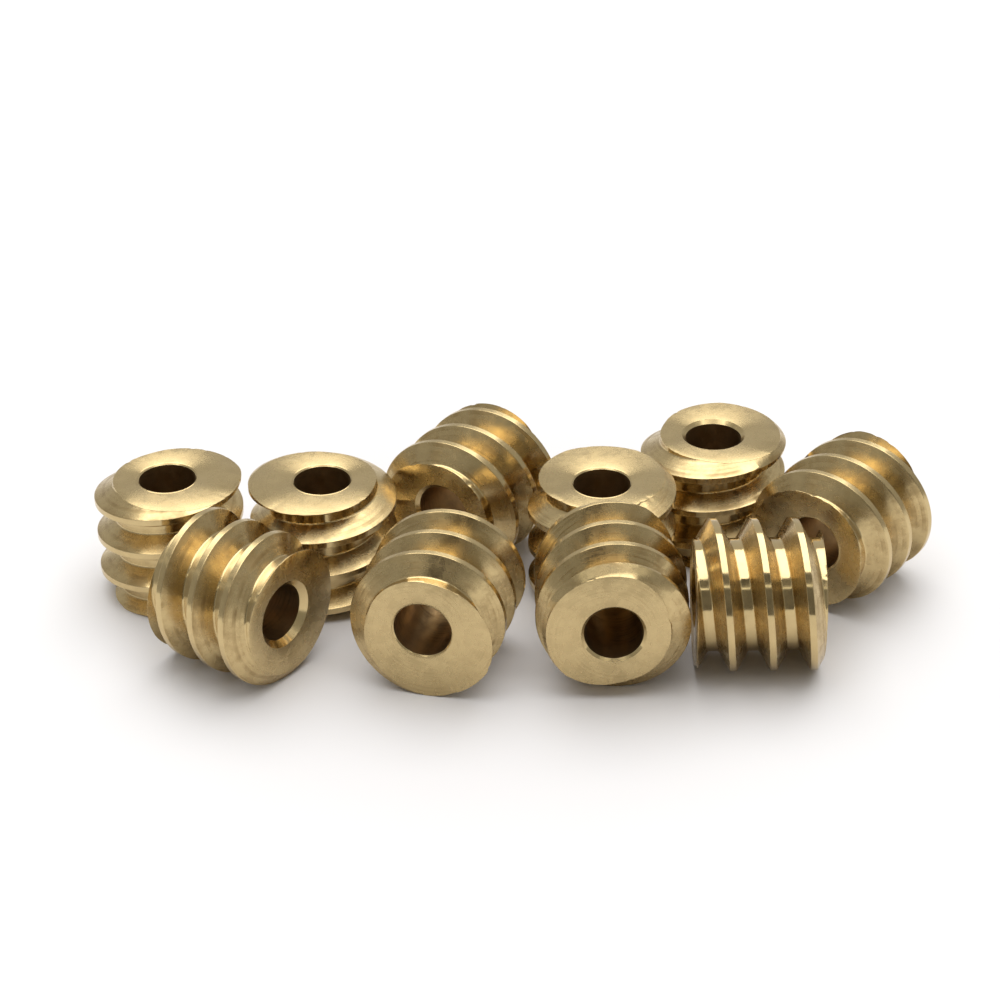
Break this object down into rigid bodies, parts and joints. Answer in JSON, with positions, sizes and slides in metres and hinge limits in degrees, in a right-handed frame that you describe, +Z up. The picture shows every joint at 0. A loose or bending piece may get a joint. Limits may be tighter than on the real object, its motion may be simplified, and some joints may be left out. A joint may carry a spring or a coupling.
{
  "type": "worm gear set",
  "caption": "Loose one-piece brass worms with a right-hand single-start thread, flat ends and a plain through bore, some on end and some on their sides.",
  "frame": {"origin": "centre of the group's footprint, on the surface it stands on", "axes": "+X along the long side of the group, +Z up; the near row of worms is at -Y"},
  "size_m": [0.034, 0.016, 0.006],
  "materials": {
    "brass": "turned brass, satin with fine tool marks"
  },
  "bodies": {
    "worm_1": {"worm_1": "brass"},
    "worm_2": {"worm_2": "brass"},
    "worm_3": {"worm_3": "brass"},
    "worm_4": {"worm_4": "brass"},
    "worm_5": {"worm_5": "brass"},
    "worm_6": {"worm_6": "brass"},
    "worm_7": {"worm_7": "brass"},
    "worm_8": {"worm_8": "brass"},
    "worm_9": {"worm_9": "brass"},
    "worm_10": {"worm_10": "brass"}
  },
  "joints": [
    {"name": "lift_worm_1", "type": "slide", "parent": "worm_5", "child": "worm_1", "axis": [0, 0, 1], "range_m": [0, 0.03]},
    {"name": "lift_worm_2", "type": "slide", "parent": "worm_5", "child": "worm_2", "axis": [0, 0, 1], "range_m": [0, 0.03]},
    {"name": "lift_worm_3", "type": "slide", "parent": "worm_5", "child": "worm_3", "axis": [0, 0, 1], "range_m": [0, 0.03]},
    {"name": "lift_worm_4", "type": "slide", "parent": "worm_5", "child": "worm_4", "axis": [0, 0, 1], "range_m": [0, 0.03]},
    {"name": "lift_worm_6", "type": "slide", "parent": "worm_5", "child": "worm_6", "axis": [0, 0, 1], "range_m": [0, 0.03]},
    {"name": "lift_worm_7", "type": "slide", "parent": "worm_5", "child": "worm_7", "axis": [0, 0, 1], "range_m": [0, 0.03]},
    {"name": "lift_worm_8", "type": "slide", "parent": "worm_5", "child": "worm_8", "axis": [0, 0, 1], "range_m": [0, 0.03]},
    {"name": "lift_worm_9", "type": "slide", "parent": "worm_5", "child": "worm_9", "axis": [0, 0, 1], "range_m": [0, 0.03]},
    {"name": "lift_worm_10", "type": "slide", "parent": "worm_5", "child": "worm_10", "axis": [0, 0, 1], "range_m": [0, 0.03]}
  ]
}
